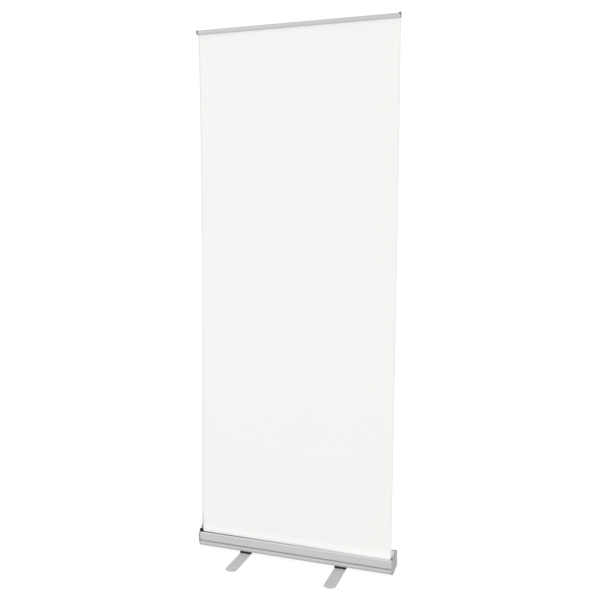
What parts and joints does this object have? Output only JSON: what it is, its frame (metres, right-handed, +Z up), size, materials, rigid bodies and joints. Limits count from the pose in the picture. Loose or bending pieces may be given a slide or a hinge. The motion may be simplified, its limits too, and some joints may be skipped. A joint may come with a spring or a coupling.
{
  "type": "roll-up banner stand",
  "caption": "Free-standing roll-up banner: sprung cassette with swing feet, white film, clamp rail and a telescopic pole behind.",
  "frame": {"origin": "on the floor, under the middle of the cassette and midway between the two feet", "axes": "+X to the right of someone facing the front of the banner, +Y to the rear, +Z up"},
  "size_m": [0.815, 0.391, 2.0878],
  "materials": {
    "aluminium": "satin anodised",
    "tube_aluminium": "drawn",
    "cap_plastic": "moulded, satin grey",
    "rail_cap_plastic": "moulded, dark grey",
    "black_plastic": "moulded",
    "nylon": "natural",
    "steel": "zinc plated",
    "rubber": "moulded",
    "film": "blank white polyester film"
  },
  "bodies": {
    "base": {"cassette_body": "aluminium", "end_cap_left": "cap_plastic", "end_cap_right": "cap_plastic", "end_cap_screws": "steel", "bearing_plate_left": "black_plastic", "bearing_plate_right": "black_plastic", "idle_axle": "steel", "spring_shaft": "steel", "torsion_spring": "steel", "spring_anchor": "black_plastic", "pole_socket": "black_plastic", "pole_socket_screws": "steel", "deck_grommet": "black_plastic", "foot_nuts": "steel", "foot_pivot_screw_left": "steel", "foot_pivot_screw_right": "steel"},
    "foot_left": {"foot_blade_left": "aluminium", "foot_pads_left": "rubber", "foot_hub_left": "black_plastic"},
    "foot_right": {"foot_blade_right": "aluminium", "foot_pads_right": "rubber", "foot_hub_right": "black_plastic"},
    "roller": {"roller_tube": "tube_aluminium", "roller_plug_idle": "black_plastic", "roller_plug_drive": "black_plastic", "shaft_journal": "black_plastic", "graphic_leader": "film"},
    "pole_lower": {"pole_tube_lower": "tube_aluminium", "pole_foot_plug": "black_plastic", "pole_glide_lower": "nylon"},
    "collar_lower": {"pole_collar_lower": "black_plastic"},
    "pole_middle": {"pole_tube_middle": "tube_aluminium", "pole_stop_middle": "nylon", "pole_glide_upper": "nylon"},
    "collar_upper": {"pole_collar_upper": "black_plastic"},
    "pole_top": {"pole_tube_top": "tube_aluminium", "pole_stop_top": "nylon", "pole_hook_head": "black_plastic"},
    "top_rail": {"rail_profile": "aluminium", "rail_cap_left": "rail_cap_plastic", "rail_cap_right": "rail_cap_plastic", "rail_gripper": "nylon", "rail_bracket": "black_plastic", "rail_bracket_screws": "steel", "banner_graphic": "film"}
  },
  "joints": [
    {"name": "foot_left_swing", "type": "hinge", "parent": "base", "child": "foot_left", "pos_m": [-0.2, 0, 0.0023], "axis": [0, 0, 1], "range_deg": [-90, 90]},
    {"name": "foot_right_swing", "type": "hinge", "parent": "base", "child": "foot_right", "pos_m": [0.2, 0, 0.0023], "axis": [0, 0, 1], "range_deg": [-90, 90]},
    {"name": "pole_lift_out", "type": "slide", "parent": "base", "child": "pole_lower", "axis": [0, 0, 1], "range_m": [0, 0.028]},
    {"name": "collar_lower_twist", "type": "hinge", "parent": "pole_lower", "child": "collar_lower", "pos_m": [0, 0.0255, 0.74], "axis": [0, 0, 1], "range_deg": [0, 90]},
    {"name": "pole_middle_slide", "type": "slide", "parent": "pole_lower", "child": "pole_middle", "axis": [0, 0, 1], "range_m": [-0.62, 0], "deforming": ["banner_graphic"]},
    {"name": "collar_upper_twist", "type": "hinge", "parent": "pole_middle", "child": "collar_upper", "pos_m": [0, 0.0255, 1.412], "axis": [0, 0, 1], "range_deg": [0, 90]},
    {"name": "pole_top_slide", "type": "slide", "parent": "pole_middle", "child": "pole_top", "axis": [0, 0, 1], "range_m": [-0.62, 0]},
    {"name": "rail_unhook", "type": "slide", "parent": "pole_top", "child": "top_rail", "axis": [0, 0, 1], "range_m": [0, 0.014]},
    {"name": "roller_spin", "type": "hinge", "parent": "base", "child": "roller", "pos_m": [0, -0.0132, 0.036], "axis": [1, 0, 0], "range_deg": [0, 4515]}
  ],
  "couplings": [
    {"joint": "pole_top_slide", "follows": "pole_middle_slide", "ratio": 1},
    {"joint": "roller_spin", "follows": "pole_middle_slide", "rad_per_m": -126.98}
  ]
}
